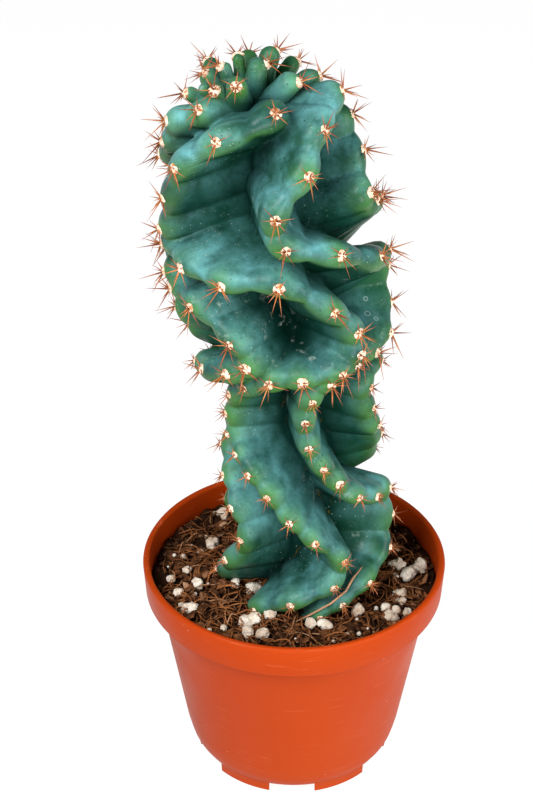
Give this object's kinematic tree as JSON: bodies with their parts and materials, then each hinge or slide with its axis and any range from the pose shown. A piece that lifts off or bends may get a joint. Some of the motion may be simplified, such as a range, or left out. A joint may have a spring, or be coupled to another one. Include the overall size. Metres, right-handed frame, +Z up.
{
  "type": "potted spiral cactus",
  "caption": "A columnar cactus whose deep blue-green ribs twist back and forth in a spiral, with spiny areoles along every rib, in an orange plastic nursery pot of coarse potting mix.",
  "frame": {"origin": "under the middle of the pot, on the surface that its feet stand on", "axes": "+Z up, X to the right and Y away from the viewer as seen from the pictured side"},
  "size_m": [0.13, 0.13, 0.3374],
  "materials": {
    "pot_plastic": "satin orange polypropylene",
    "potting_mix": "rough brown coir fibre, bark chips and white perlite",
    "cactus_skin": "waxy blue-green skin with a pale bloom, felt areoles and amber spines"
  },
  "bodies": {
    "root": {"pot": "pot_plastic", "potting_mix": "potting_mix", "cactus": "cactus_skin"}
  },
  "joints": []
}
